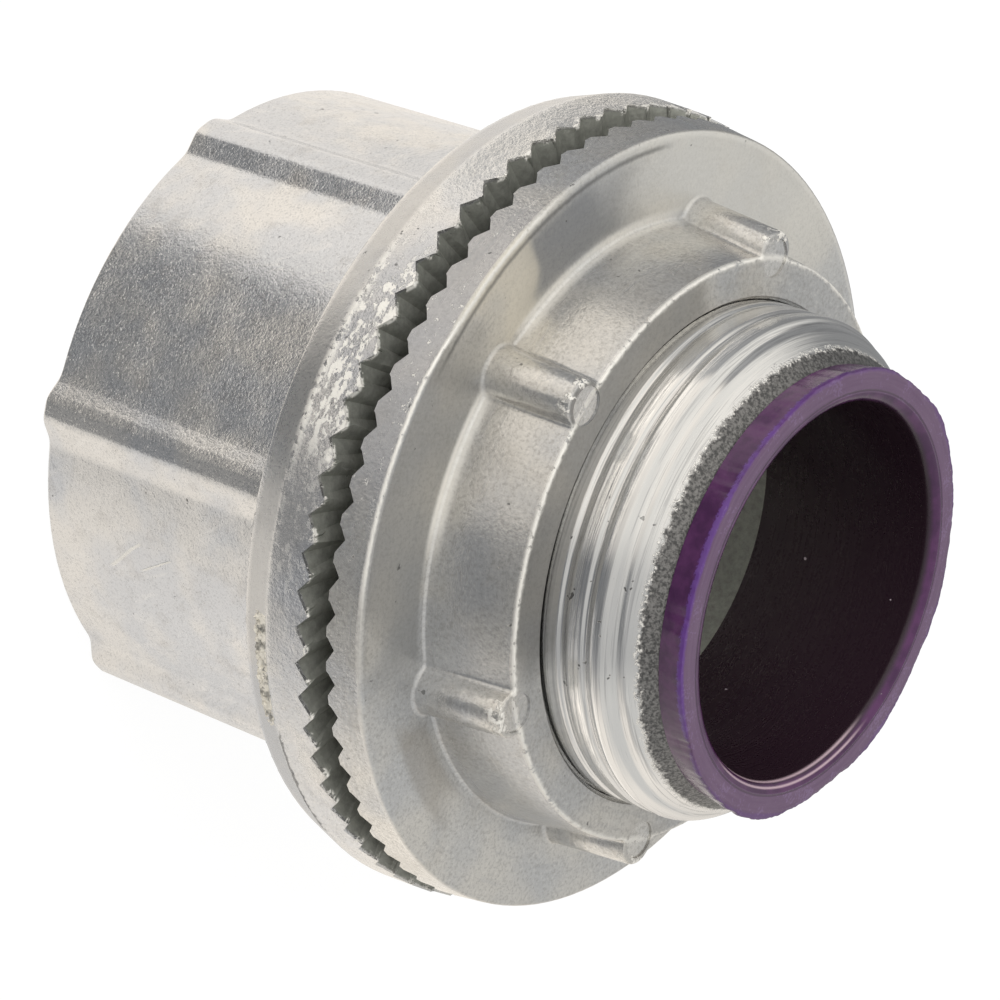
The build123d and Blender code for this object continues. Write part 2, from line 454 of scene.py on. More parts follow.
clusters = cast.step(cast.noise(cast.vector(cast.y, cast.z, cast.x), 0.16, 1.0), 0.50, 0.60)
pits = cast.step(cast.noise(cast.place, 1.5, 2.0, 0.6), 0.71, 0.75) * clusters
flecks = cast.step(cast.noise(cast.vector(cast.z, cast.x, cast.y), 3.4, 2.0, 0.6), 0.74, 0.78)
on_barrel = 1 - cast.step(cast.z, BARREL_END - 0.5, BARREL_END + 0.5)
sparks = cast.step(strokes, 0.66, 0.72) * cast.step(coarse + patches, 0.95, 1.20)
on_rim = cast.step(cast.z, RIDGE - 0.2, RIDGE + 0.4)
on_rim = on_rim * cast.step(cast.reach, RIM_R - 0.3, RIM_R - 0.1)
on_shoulder = cast.step(cast.z, BARREL_END + 0.2, BARREL_END + 0.8)
on_shoulder = on_shoulder * (1 - cast.step(cast.z, RIDGE - 0.4, RIDGE + 0.2))
side = 0.25 + cast.window(PALE_RIM_SIDE, 9.0, 9.0) * 0.75
smear = cast.noise(cast.around(0.55, 1.0, 1.9), 1.0, 4.0, 0.7)

ragged = coarse - 0.5
tips = cast.z + ragged * 1.8 + (smear - 0.5) * 3.4 + side * 0.55
tips = cast.step(tips, TOOTH_TIP - 0.10, TOOTH_TIP + 0.15)
tips = tips * cast.step(cast.reach, RIM_R - 0.55, RIM_R - 0.25)
ridge = cast.near(cast.z, RIDGE + 0.1, 0.6) * cast.step(cast.reach, RIM_R - 0.3, RIM_R)
ridge = ridge * cast.step(coarse + (patches - 0.5) * 0.8, 0.44, 0.52)
crumbs = smear + ragged * 0.25 + (cast.z - RIDGE) / RIM_UP * 0.10 + side * 0.09
crumbs = cast.step(crumbs, 0.63, 0.68) * on_rim
# Painted shade in the gaps between the teeth, under the nut, where they are also rougher and less
# metallic
shaded_teeth = cast.step(cast.z, TOOTH_TIP - 2.4, TOOTH_TIP - 1.6)
shaded_teeth = shaded_teeth * (1 - cast.step(cast.reach + ragged * 0.4, RIM_R - 0.30, RIM_R - 0.08))
bore = 1 - cast.step(cast.reach, BORE_R, BORE_R + 0.5)
seam = cast.near(cast.z + ragged * 0.8, RIDGE + 0.05, 0.16) * cast.window(SEAM_SIDE, 9.0, 2.0)
long_scratch = cast.scratch((287.7, 9.5), (295.4, 5.9), 0.26)
short_scratch = cast.scratch((289.0, 12.45), (293.7, 9.05), 0.22)

colour = cast.mix(cast.step(cloud, 0.40, 0.62), (0.70, 0.71, 0.73, 1), (0.82, 0.80, 0.77, 1))
colour = cast.mix(cast.step(patches, 0.52, 0.70) * 0.30, colour, (0.50, 0.48, 0.46, 1))
colour = cast.mix(cast.step(swipes, 0.55, 0.68) * 0.22, colour, (0.95, 0.93, 0.90, 1))
colour = cast.mix((1 - cast.step(skin, 0.34, 0.46)) * 0.28, colour, (0.36, 0.36, 0.37, 1))
# Painted shade, a painted highlight and softer painted shade on three sides of the rim
colour = cast.mix(on_rim * cast.window(RIM_SHADE_SIDE, 24.0, 14.0) * 0.40, colour, (0.42, 0.43, 0.46, 1))
colour = cast.mix(on_rim * cast.window(RIM_HIGHLIGHT_SIDE, 18.0, 14.0) * 0.6, colour, (0.95, 0.93, 0.89, 1))
colour = cast.mix(on_rim * cast.window(RIM_SOFT_SHADE_SIDE, 20.0, 14.0) * 0.25, colour, (0.50, 0.49, 0.47, 1))
colour = cast.mix(on_shoulder * 0.45, colour, (0.42, 0.42, 0.42, 1))
colour = cast.mix(bore, colour, (0.52, 0.53, 0.46, 1))
# The colour of that painted shade, darker or lighter with the coarse noise
teeth_shade_colour = cast.mix(coarse, (0.16, 0.165, 0.145, 1), (0.56, 0.57, 0.52, 1))
colour = cast.mix(shaded_teeth, colour, teeth_shade_colour)
colour = cast.mix(pits * 0.7, colour, GRIME_AND_SHADE)
colour = cast.mix(seam * 0.85, colour, GRIME_AND_SHADE)
sparks = cast.strongest(sparks, flecks * 0.8) * on_barrel
pale = cast.strongest(tips, ridge * side, crumbs * side, long_scratch, short_scratch, sparks * 0.6)
colour = cast.mix(pale, colour, PALE)
roughness = 0.19 + (skin - 0.5) * 0.18 + (cloud - 0.5) * 0.12 + bore * 0.13 + shaded_teeth * 0.2
roughness = roughness + pale * 0.15 + on_rim * 0.05 + on_shoulder * 0.1
relief = skin * 0.010 + coarse * 0.020 + waves * 0.08 - pits * 0.05 + flecks * 0.03 + pale * 0.03
relief = relief - seam * 0.15 + bore * coarse * 0.03 + on_rim * coarse * 0.03
metallic = 0.88 - pale * 0.60 + bore * 0.1 - shaded_teeth * 0.35
cast_zinc = cast.finish(colour, roughness, relief, metallic)

# %% [markdown]
# ## The locknut's casting
#
# The nut is the same alloy out of a smoother die. It is stained in soft brown clouds, painted shade
# darkens one side in blue-grey and painted light brightens another, its rim and the top of its
# collar are rubbed to bright lines, with painted highlights on the rim and the collar's foot, and a
# few marks run round it where it was turned against a tool.

# %% The locknut
FACE_R = 28.70
COLLAR_EDGE_R = 21.3
COLLAR_FOOT_R = 22.4

nut = Surface("nut_zinc")
cloud = nut.noise(nut.place, 0.10, 2.0, 0.55)
stain = nut.noise(nut.vector(nut.y, nut.z, nut.x), 0.16, 4.0, 0.65)
skin = nut.noise(nut.place, 4.5, 1.0, 0.6)
coarse = nut.noise(nut.place, 1.5, 3.0, 0.7)
waves = nut.noise(nut.place, 0.20, 1.0, 0.5)
swirl = nut.noise(nut.around(0.05, 1.2, 1.2), 1.6, 3.0, 0.6)
clusters = nut.step(nut.noise(nut.vector(nut.z, nut.x, nut.y), 0.18, 1.0), 0.48, 0.58)
pits = nut.step(nut.noise(nut.place, 1.2, 2.0, 0.6), 0.70, 0.74) * clusters
ragged = (coarse - 0.5) * 0.5

past_rim = NUT_FACE - nut.z - (FACE_R - nut.reach)
down_side = nut.step(nut.turned(242.0), -6.0, 6.0)
rim_line = nut.near(past_rim + ragged * 0.6 - down_side * 0.55 + 0.28, 0.0, 0.34)
# The rim line is rubbed bright all round, and a painted highlight adds to it on one side
rim_highlight_side = nut.window(PALE_RIM_SIDE, 27.0, 8.0)
rim_line = rim_line * (0.35 + rim_highlight_side * 0.65) * nut.step(coarse, 0.28, 0.40)
rim_shade = nut.near(past_rim + ragged * 0.4, -0.85, 0.32) * nut.window(217.0, 24.0, 6.0)
collar_line = nut.near(nut.reach + ragged, COLLAR_EDGE_R, 0.42) * nut.near(nut.z, COLLAR_TOP, 0.40)
collar_line = collar_line * nut.step(coarse, 0.34, 0.46)
# A painted highlight along the foot of the collar, on two sides
foot_highlight = nut.near(nut.z + nut.reach, NUT_FACE + COLLAR_FOOT_R + 0.35, 0.55)
foot_highlight = foot_highlight * nut.near(nut.z, NUT_FACE, 1.2)
foot_highlight_sides = nut.window(207.0, 20.0, 6.0) * 0.55 + nut.window(256.0, 9.0, 12.0) * 0.8
foot_highlight = foot_highlight * foot_highlight_sides
lug_tip = nut.step(nut.z + (coarse - 0.5) * 5.0, COLLAR_TOP - 1.0, COLLAR_TOP + 0.2)
lug_tip = lug_tip * nut.band(nut.reach, 23.3, 0.6, 0.6) * nut.step(coarse, 0.50, 0.56)
collar_face = nut.step(nut.z, COLLAR_TOP - 0.12, COLLAR_TOP - 0.02)
collar_side = nut.step(nut.z, NUT_FACE + 0.4, NUT_FACE + 1.4) * (1 - collar_face)
flange_face = nut.near(nut.z, NUT_FACE, 0.3)
flange_face = flange_face * nut.step(nut.reach, COLLAR_FOOT_R + 0.3, COLLAR_FOOT_R + 0.8)
under = 1 - nut.step(nut.z, NUT_TIP + 0.9, NUT_TIP + 1.2)
under = under * (1 - nut.step(nut.reach, RIM_R - 1.0, RIM_R - 0.6))
outside = nut.step(past_rim, 0.1, 0.3)
nicks = nut.step(nut.noise(nut.around(0.8, 1.0, 2.0), 1.0, 3.0, 0.75), 0.62, 0.66) * outside
grains = nut.noise(nut.vector(nut.z, nut.x, nut.y), 3.2, 2.0, 0.8)
lit_side = nut.window(168.0, 16.0, 30.0)
shadow_side = nut.window(241.0, 19.0, 8.0)

wander = (cloud - 0.5) * 40


def cloud_over(side, reach, soft):
    """A patch over one side of the nut, with an edge that wanders."""
    return nut.band(nut.turned(side) + wander, 0.0, reach, soft)


# Patches over sides of the nut; the blue-grey one, the grey one and the one on the collar are
# painted shade
blue_shade = cloud_over(214.0, 8.0, 14.0) * nut.band(nut.reach, 25.4, 1.6, 1.6)
beige = cloud_over(232.0, 4.0, 5.0)
grey_shade = cloud_over(264.0, 18.0, 10.0)
brown = cloud_over(312.0, 8.0, 8.0) * nut.band(nut.reach, 24.5, 1.0, 0.8)
collar_shade = cloud_over(PALE_RIM_SIDE, 38.0, 10.0)

colour = nut.mix(nut.step(cloud, 0.40, 0.60), (0.62, 0.625, 0.63, 1), (0.74, 0.72, 0.68, 1))
colour = nut.mix(nut.step(stain, 0.50, 0.66) * 0.35, colour, (0.56, 0.53, 0.48, 1))
colour = nut.mix(nut.step(swirl, 0.52, 0.72) * 0.25, colour, (0.46, 0.47, 0.49, 1))
colour = nut.mix((1 - nut.step(skin, 0.30, 0.44)) * 0.25, colour, (0.38, 0.37, 0.36, 1))
colour = nut.mix((1 - nut.step(grains, 0.36, 0.50)) * 0.34, colour, (0.36, 0.35, 0.33, 1))
colour = nut.mix(nut.step(grains, 0.56, 0.68) * 0.30, colour, (0.93, 0.91, 0.86, 1))
# Painted shade on one side of the outer edge, painted light on one side of the flange face, and
# painted shade over another side of the face
colour = nut.mix(outside * shadow_side * 0.6, colour, (0.36, 0.37, 0.40, 1))
colour = nut.mix(flange_face * lit_side * 0.6, colour, (0.92, 0.90, 0.84, 1))
colour = nut.mix(flange_face * grey_shade * 0.55, colour, (0.34, 0.34, 0.335, 1))
colour = nut.mix(flange_face * blue_shade * 0.75, colour, (0.24, 0.25, 0.27, 1))
colour = nut.mix(flange_face * beige * 0.6, colour, (0.84, 0.79, 0.68, 1))
colour = nut.mix(flange_face * brown * 0.45, colour, (0.34, 0.31, 0.27, 1))
# The collar's top is a little darker all round, and painted shade darkens it more on one side
colour = nut.mix(collar_face * (0.10 + collar_shade * 0.55), colour, (0.26, 0.255, 0.245, 1))
colour = nut.mix(under, colour, (0.40, 0.40, 0.37, 1))
colour = nut.mix(pits * 0.7, colour, GRIME_AND_SHADE)
# Painted shade just inside the nut's rim, on one side
colour = nut.mix(rim_shade * 0.6, colour, GRIME_AND_SHADE)
pale = nut.strongest(rim_line, collar_line, lug_tip, foot_highlight, nicks * shadow_side * 0.8)
colour = nut.mix(pale, colour, PALE)
roughness = 0.34 + (stain - 0.5) * 0.20 + (swirl - 0.5) * 0.12 + pale * 0.15
roughness = roughness + collar_face * 0.12 + under * 0.2 - outside * 0.08 - collar_side * 0.10
relief = skin * (0.010 + outside * 0.008) + grains * 0.012 + coarse * (0.012 + outside * 0.012)
relief = relief + swirl * 0.008 + waves * 0.06 - pits * 0.04
relief = relief + pale * 0.03 + collar_face * coarse * 0.05
metallic = 0.86 - pale * 0.55
nut_zinc = nut.finish(colour, roughness, relief, metallic)

# %% [markdown]
# ## The machined thread
#
# The thread is the one place that a tool has cut, so it is bright and glossy, with hair-fine lines
# and wider streaks running round it, and a few pores that the cutter laid open on one side. The
# cutter stopped short of the end, which is still dark, rough casting with a ragged bright border.

# %% The thread's finish
RAW_END = 1.15
PORE_SIDE = 275.0

cut = Surface("cut_zinc")
hair = cut.noise(cut.around(0.02, 3.0, 7.0), 1.0, 3.0, 0.7)
bands = cut.noise(cut.around(0.012, 0.5, 1.1), 1.0, 2.0, 0.6)
streaks = cut.noise(cut.around(0.018, 0.6, 3.2), 1.0, 4.0, 0.75)
coarse = cut.noise(cut.place, 1.7, 3.0, 0.7)
skin = cut.noise(cut.place, 4.5, 2.0, 0.7)
raw_start = NIPPLE_TOP - RAW_END
raw_end = cut.step(cut.z + (coarse - 0.5) * 0.8, raw_start - 0.12, raw_start + 0.16)
border = cut.near(cut.z + (coarse - 0.5) * 1.0, raw_start - 0.02, 0.24) * cut.step(skin, 0.46, 0.60)
pores = cut.step(cut.noise(cut.place, 1.3, 2.0, 0.6), 0.69, 0.72)
pores = pores * cut.window(PORE_SIDE, 16.0, 14.0)
inner = 1 - cut.step(cut.reach, NIPPLE_END_R - 0.6, NIPPLE_END_R - 0.5)
inner = inner * (1 - cut.step(cut.z, SOCKET_DEPTH, SOCKET_DEPTH + 1.0))

colour = cut.mix(cut.step(bands, 0.38, 0.60), (0.84, 0.84, 0.83, 1), (0.93, 0.92, 0.90, 1))
colour = cut.mix(cut.step(streaks, 0.53, 0.60) * 0.45, colour, (0.42, 0.42, 0.43, 1))
colour = cut.mix(cut.step(hair, 0.58, 0.64) * 0.40, colour, (0.36, 0.36, 0.36, 1))
colour = cut.mix(cut.window(PORE_SIDE, 8.0, 14.0) * 0.45, colour, (0.40, 0.41, 0.43, 1))
colour = cut.mix(inner * 0.5, colour, (0.50, 0.50, 0.46, 1))
raw_colour = cut.mix(cut.step(skin, 0.35, 0.65), grey(0.11), (0.30, 0.295, 0.29, 1))
colour = cut.mix(raw_end, colour, raw_colour)
colour = cut.mix(pores * 0.8, colour, GRIME_AND_SHADE)
colour = cut.mix(border, colour, PALE)
roughness = 0.12 + (hair - 0.5) * 0.10 + raw_end * 0.30 + border * 0.2
relief = hair * 0.010 + bands * 0.02 + streaks * 0.02 - pores * 0.06
relief = relief + raw_end * skin * 0.05 + border * 0.04
cut_zinc = cut.finish(colour, roughness, relief, 0.95 - border * 0.6)

# %% [markdown]
# ## Violet plastic
#
# The throat is a moulded sleeve that keeps the wires off the metal. Its front face is satin and
# greyed by handling, its rolled lip is glossy and carries a painted highlight on one side, the thin
# flash left round its outer edge shows a vivid violet, painted light that stands for light coming
# through it and is stronger on one side, and the bore is painted almost black as shade.

# %% The throat's plastic
LIP_ROUND = 0.9
THROAT_EDGE_R = 16.1

plastic = Surface("violet_plastic")
mottle = plastic.noise(plastic.place, 0.5, 3.0, 0.6)
grain = plastic.noise(plastic.place, 5.0, 1.0, 0.6)
swirl = plastic.noise(plastic.around(0.04, 2.5, 2.0), 1.5, 3.0, 0.6)
face = plastic.step(plastic.z, THROAT_FRONT - 0.12, THROAT_FRONT - 0.03)
face = face * plastic.step(plastic.reach, THROAT_R + LIP_ROUND - 0.15, THROAT_R + LIP_ROUND)
edge = plastic.reach + (mottle - 0.5) * 0.5
edge = plastic.step(edge, THROAT_EDGE_R - 0.34, THROAT_EDGE_R - 0.10)
front = plastic.z + (grain - 0.5) * 0.5
edge = edge * plastic.step(front, THROAT_FRONT - 0.55, THROAT_FRONT - 0.30)
# Painted shade deep in the bore
bore_shade = 1 - plastic.step(plastic.reach, THROAT_R + 0.02, THROAT_R + 0.35)
flash = plastic.step(grain + (mottle - 0.5), 0.62, 0.66) * face
dust = plastic.step(plastic.noise(plastic.place, 1.3, 1.0), 0.80, 0.82)
lip_line = plastic.near(plastic.reach, THROAT_R + LIP_ROUND + 0.05, 0.12) * face
edge_light_side = plastic.window(262.0, 42.0, 20.0)
# A painted highlight on the rolled lip, on one side
lip_highlight = plastic.near(plastic.reach, THROAT_R + 0.42, 0.13)
lip_highlight = lip_highlight + plastic.near(plastic.reach, THROAT_R + 0.10, 0.08)
lip_highlight = lip_highlight * plastic.window(2.0, 30.0, 14.0)
lip_highlight = lip_highlight * plastic.step(plastic.z, THROAT_FRONT - 0.9, THROAT_FRONT - 0.7)

tone = plastic.step(mottle, 0.35, 0.65)
colour = plastic.mix(tone, (0.048, 0.012, 0.056, 1), (0.085, 0.024, 0.092, 1))
face_colour = plastic.mix(swirl, (0.095, 0.042, 0.110, 1), (0.190, 0.125, 0.200, 1))
colour = plastic.mix(face * 0.9, colour, face_colour)
colour = plastic.mix(bore_shade, colour, (0.020, 0.010, 0.016, 1))
# Painted light: the vivid violet of light coming through the thin edge, stronger on one side
colour = plastic.mix(edge * (0.35 + edge_light_side * 0.5), colour, (0.110, 0.040, 0.230, 1))
colour = plastic.mix(flash * 0.3, colour, (0.26, 0.18, 0.34, 1))
colour = plastic.mix(lip_line * 0.6, colour, (0.03, 0.012, 0.03, 1))
colour = plastic.mix(lip_highlight * 0.75, colour, (0.62, 0.46, 0.52, 1))
colour = plastic.mix(dust, colour, (0.45, 0.38, 0.42, 1))
roughness = 0.20 + face * 0.16 + (swirl - 0.5) * 0.12 + edge * 0.12
roughness = roughness + (grain - 0.5) * 0.06 + bore_shade * 0.08
relief = swirl * 0.010 + grain * 0.004 + mottle * 0.03 - lip_line * 0.05 + dust * 0.03
violet_plastic = plastic.finish(colour, roughness, relief, 0.0)

# %% [markdown]
# ## Rubber
#
# The sealing ring is black rubber with a dull, faintly dusty skin.

# %% The sealing ring
rubber = Surface("black_rubber")
skin = rubber.noise(rubber.place, 3.0, 4.0, 0.6)
dust = rubber.step(rubber.noise(rubber.place, 0.6, 4.0, 0.7), 0.45, 0.75)
colour = rubber.mix(dust * 0.6, (0.018, 0.018, 0.019, 1), (0.075, 0.072, 0.068, 1))
roughness = 0.55 + (skin - 0.5) * 0.2 + dust * 0.15
black_rubber = rubber.finish(colour, roughness, skin * 0.02 + dust * 0.01, 0.0)

# %% [markdown]
# ## Making meshes
#
# Three small helpers serve all pieces. The first closes and smooths a mesh: doubles are merged,
# normals are made to point out, and edges sharper than an angle stay sharp. The second runs a
# Geometry Nodes tree on an empty carrier and keeps the result as a plain mesh. The third says
# which body a piece rides on and what it stands for.

# %% Helpers for meshes
SHARP_ANGLE = math.radians(32.0)
DOUBLES = 1e-7


def closed_object(name, mesh, material):
    """A smooth object from a mesh: merged, turned outwards, with its sharp edges marked."""
    work = bmesh.new()
    work.from_mesh(mesh)
    bmesh.ops.remove_doubles(work, verts=work.verts, dist=DOUBLES)
    bmesh.ops.dissolve_degenerate(work, dist=DOUBLES, edges=work.edges)
    bmesh.ops.recalc_face_normals(work, faces=work.faces)
    open_edges = sum(1 for edge in work.edges if not edge.is_manifold)
    work.to_mesh(mesh)
    work.free()
    mesh.polygons.foreach_set("use_smooth", [True] * len(mesh.polygons))
    mesh.set_sharp_from_angle(angle=SHARP_ANGLE)
    mesh.materials.clear()
    mesh.materials.append(material)
    piece = bpy.data.objects.new(name, mesh)
    bpy.context.scene.collection.objects.link(piece)
    print(name, "has", len(mesh.polygons), "faces and", open_edges, "open edges")
    return piece


def grown_mesh(name, tree, sizes):
    """The plain mesh that a Geometry Nodes tree makes from its named inputs."""
    carrier = bpy.data.objects.new(name, bpy.data.meshes.new(name + "_carrier"))
    bpy.context.scene.collection.objects.link(carrier)
    modifier = carrier.modifiers.new("tree", "NODES")
    modifier.node_group = tree
    for socket in tree.interface.items_tree:
        if socket.in_out == "INPUT" and socket.name in sizes:
            modifier[socket.identifier] = sizes[socket.name]
    graph = bpy.context.evaluated_depsgraph_get()
    mesh = bpy.data.meshes.new_from_object(carrier.evaluated_get(graph))
    mesh.name = name
    carrier.modifiers.clear()
    bpy.data.objects.remove(carrier)
    return mesh


def settle(piece, body, slot, *nodes):
    """Says which body a piece rides on and the nodes it stands for, which it hides; the slot is not
    used.
    """
    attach(piece, body)
    if nodes:
        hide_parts(*nodes)


# %% [markdown]
# ## The threads
#
# In CAD a thread is a plain cylinder. Here each one becomes a sleeve with a real helical groove. A
# screw modifier could sweep a profile, but then the thread would start and end in cut-off steps.
# Instead the tree bends a flat grid into a tube. Its rows are sheared along the helix, so that they
# run with the groove and describe it with few faces. The radius of every point comes from how many
# turns it lies from the groove's middle: the groove falls gently on its upper side and steeply on
# its lower one. A cone trims the end as a chamfering tool does. The same tree makes the nipple's
# outer thread and, with a negative depth, the socket's inner one.

# %% The thread tree
THREAD_INPUTS = (
    "Foot height", "End height", "Crest radius", "Back radius", "Pitch", "Groove depth",
    "Groove share", "Groove height", "Groove turn", "Groove on lead", "Lead height",
    "Lead radius", "Lead slope", "Rough length", "Rough depth", "Rough size", "Columns",
    "Rows per turn",
)
SOFT_CORNER = 0.5 * UNIT
GROOVE_ABOVE = 1.3
GROOVE_BELOW = 0.7
EXTRA_ROWS = 3
WELD = 5e-7

thread_tree = bpy.data.node_groups.new("helical_thread", "GeometryNodeTree")
thread_tree.interface.new_socket("Geometry", in_out="OUTPUT", socket_type="NodeSocketGeometry")
for name in THREAD_INPUTS:
    thread_tree.interface.new_socket(name, in_out="INPUT", socket_type="NodeSocketFloat")
thread_tree.interface.new_socket("Material", in_out="INPUT", socket_type="NodeSocketMaterial")

coil = Graph(thread_tree)
given = coil.add("NodeGroupInput").outputs
sizes = [Number(coil, given[name]) for name in THREAD_INPUTS]
foot, end, crest_r, back_r, pitch, groove_depth, groove_share = sizes[:7]
groove_height, groove_turn, groove_on_lead, lead_height, lead_r, lead_slope = sizes[7:13]
rough_length, rough_depth, rough_size, columns, rows_per_turn = sizes[13:]

wall_rows = ((end - foot + pitch) / pitch * rows_per_turn).maths("CEIL") + 1
grid = coil.add("GeometryNodeMeshGrid", None, {
    "Size X": 1.0, "Size Y": 1.0, "Vertices X": columns + 1, "Vertices Y": wall_rows + EXTRA_ROWS,
})
flat_x, flat_y = coil.parts(coil.add("GeometryNodeInputPosition").outputs[0])[:2]
across = flat_x + 0.5
row = ((flat_y + 0.5) * (wall_rows + (EXTRA_ROWS - 1))).maths("ROUND")
sheared = foot - pitch + (row - 1) * pitch / rows_per_turn + across * pitch
level = sheared.maths("MAXIMUM", foot).maths("MINIMUM", end)
turns = ((level - groove_height) / pitch - across + groove_turn + 0.5).maths("FRACT")
from_lead = (level - lead_height).maths("ABSOLUTE")
off_groove = turns - 0.5
off_groove = (off_groove / GROOVE_ABOVE).maths("MAXIMUM", off_groove / -GROOVE_BELOW)
groove = groove_depth * coil.slope(off_groove, 0.0, groove_share, 1.0, 0.0)
groove = groove * coil.step(from_lead, rough_length, rough_length * 1.5)
side_sign = (crest_r - back_r).maths("SIGN")
cone = side_sign * (lead_r - groove * groove_on_lead) + lead_slope * from_lead
radius = side_sign * (side_sign * (crest_r - groove)).maths("SMOOTH_MIN", cone, SOFT_CORNER)
turn_angle = across * math.tau
cosine, sine = turn_angle.maths("COSINE"), turn_angle.maths("SINE")
ring = coil.vector(cosine * crest_r, sine * crest_r, level)
lumps = coil.noise(ring, rough_size, 3.0, 0.6) * (1 - coil.step(from_lead, 0.0, rough_length))
radius = radius - lumps * rough_depth
on_wall = row.maths("GREATER_THAN", 0.5) * row.maths("LESS_THAN", wall_rows + 0.5)
on_top = row.maths("GREATER_THAN", wall_rows + 0.5) * row.maths("LESS_THAN", wall_rows + 1.5)
radius = radius * on_wall + back_r * (1 - on_wall)
level = level * on_wall + end * on_top + foot * (1 - on_wall - on_top)
bent = coil.vector(cosine * radius, sine * radius, level)
shape = grid.outputs["Mesh"]
for kind, sockets in (
    ("GeometryNodeSetPosition", {"Position": bent}),
    ("GeometryNodeMergeByDistance", {"Distance": WELD}),
    ("GeometryNodeRealizeInstances", {}),
    ("GeometryNodeSetMaterial", {"Material": given["Material"]}),
    ("NodeGroupOutput", {}),
):
    outputs = coil.add(kind, None, {"Geometry": shape, **sockets}).outputs
    shape = outputs[0] if outputs else None
print("thread tree has", len(thread_tree.nodes), "nodes")

# %% The nipple's thread and the socket's
SLEEVE_BACK = 15.0
SLEEVE_FOOT = RIDGE + 2.5
GROOVE_HEIGHT = 46.55
GROOVE_ANGLE = 246.9
SOCKET_LIFT = 0.02
SOCKET_WALL = 0.15
nipple_sizes = {
    "Foot height": SLEEVE_FOOT * UNIT, "End height": NIPPLE_TOP * UNIT,
    "Crest radius": NIPPLE_R * UNIT, "Back radius": SLEEVE_BACK * UNIT,
    "Pitch": NIPPLE_PITCH * UNIT, "Groove depth": 0.20 * UNIT, "Groove share": 0.25,
    "Groove height": GROOVE_HEIGHT * UNIT, "Groove turn": GROOVE_ANGLE / 360,
    "Groove on lead": 1.0, "Lead height": NIPPLE_TOP * UNIT, "Lead radius": NIPPLE_END_R * UNIT,
    "Lead slope": (NIPPLE_R - NIPPLE_END_R) / NIPPLE_LEAD, "Rough length": RAW_END * UNIT,
    "Rough depth": 0.22 * UNIT, "Rough size": 1.8 / UNIT, "Columns": 260.0,
    "Rows per turn": 20.0, "Material": cut_zinc,
}
socket_sizes = {
    "Foot height": SOCKET_LIFT * UNIT, "End height": SOCKET_DEPTH * UNIT,
    "Crest radius": SOCKET_R * UNIT, "Back radius": (SOCKET_MOUTH_R + SOCKET_WALL) * UNIT,
    "Pitch": SOCKET_PITCH * UNIT, "Groove depth": -1.2 * UNIT, "Groove share": 0.48,
    "Groove height": 0.0, "Groove turn": 0.0, "Groove on lead": 0.0, "Lead height": 0.0,
    "Lead radius": SOCKET_MOUTH_R * UNIT, "Lead slope": 1.0, "Rough length": 0.1 * UNIT,
    "Rough depth": 0.0, "Rough size": 1.0, "Columns": 180.0, "Rows per turn": 12.0,
    "Material": cut_zinc,
}
for name, sizes in (("nipple_thread", nipple_sizes), ("socket_thread", socket_sizes)):
    thread = closed_object(name, grown_mesh(name, thread_tree, sizes), cut_zinc)
    settle(thread, "hub", "hub_casting")

# %% [markdown]
# ## The hub's casting
#
# The casting keeps the CAD's shape, so it starts as a copy of the CAD node's mesh. Two walls step
# back to make room for the thread sleeves, and the crests of the face teeth are knocked about a
# little, as bitten-in teeth are: each corner is moved by its own small amount. Normals are weighted
# by face area, so that flat faces stay flat beside small rounded edges.

# %% The casting
SLEEVE_OVERLAP = 0.1
TOP_CLEARANCE = 0.05
TIP_KNOCK = 0.28
SHOVE_SHARE = 0.6
TIP_SEED = 11
CLOSE = 0.02
MERGE = 1e-6


def merged_copy(node_name):
    """The mesh of a CAD node with its doubles merged, ready to be edited."""
    work = bmesh.new()
    work.from_mesh(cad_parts[node_name].data)
    bmesh.ops.remove_doubles(work, verts=work.verts, dist=MERGE)
    return work


def move_radially(vertex, radius):
    """Moves a vertex to another distance from the axis, in units."""
    share = radius * UNIT / math.hypot(vertex.co.x, vertex.co.y)
    vertex.co.x *= share
    vertex.co.y *= share


def plain_mesh(name, work):
    """A new mesh with the vertices and faces of an edited one, and nothing else of it."""
    work.verts.index_update()
    points = [vertex.co[:] for vertex in work.verts]
    faces = [[vertex.index for vertex in face.verts] for face in work.faces]
    work.free()
    mesh = bpy.data.meshes.new(name)
    mesh.from_pydata(points, [], faces)
    return mesh


work = merged_copy("hub_body")
knocks = np.random.default_rng(TIP_SEED)
for vertex in work.verts:
    reach = math.hypot(vertex.co.x, vertex.co.y) / UNIT
    height_units = vertex.co.z / UNIT
    if SLEEVE_BACK - 0.1 < reach < NIPPLE_R + CLOSE and height_units > TOOTH_TIP - 1.0:
        move_radially(vertex, SLEEVE_BACK + SLEEVE_OVERLAP)
        vertex.co.z = min(vertex.co.z, (NIPPLE_TOP - TOP_CLEARANCE) * UNIT)
    if abs(reach - SOCKET_R) < CLOSE and height_units < SOCKET_DEPTH / 2:
        move_radially(vertex, SOCKET_MOUTH_R - SLEEVE_OVERLAP)
    if reach > TOOTH_INNER_R - 0.1 and height_units > TOOTH_TIP - 0.05:
        drop, shove = knocks.random(2) * TIP_KNOCK
        move_radially(vertex, reach - shove * SHOVE_SHARE)
        vertex.co.z -= drop * UNIT
casting = closed_object("hub_casting", plain_mesh("hub_casting", work), cast_zinc)
casting.modifiers.new("flat faces stay flat", "WEIGHTED_NORMAL").keep_sharp = True
settle(casting, "hub", "hub_casting", "hub_body")

# %% [markdown]
# ## The throat
#
# The sleeve is one turned section. Its front edge was trimmed roughly where the moulding flash was
# cut off, so its radius wanders round the rim. The section is swept round the axis by hand here,
# because only one of its corners wanders.

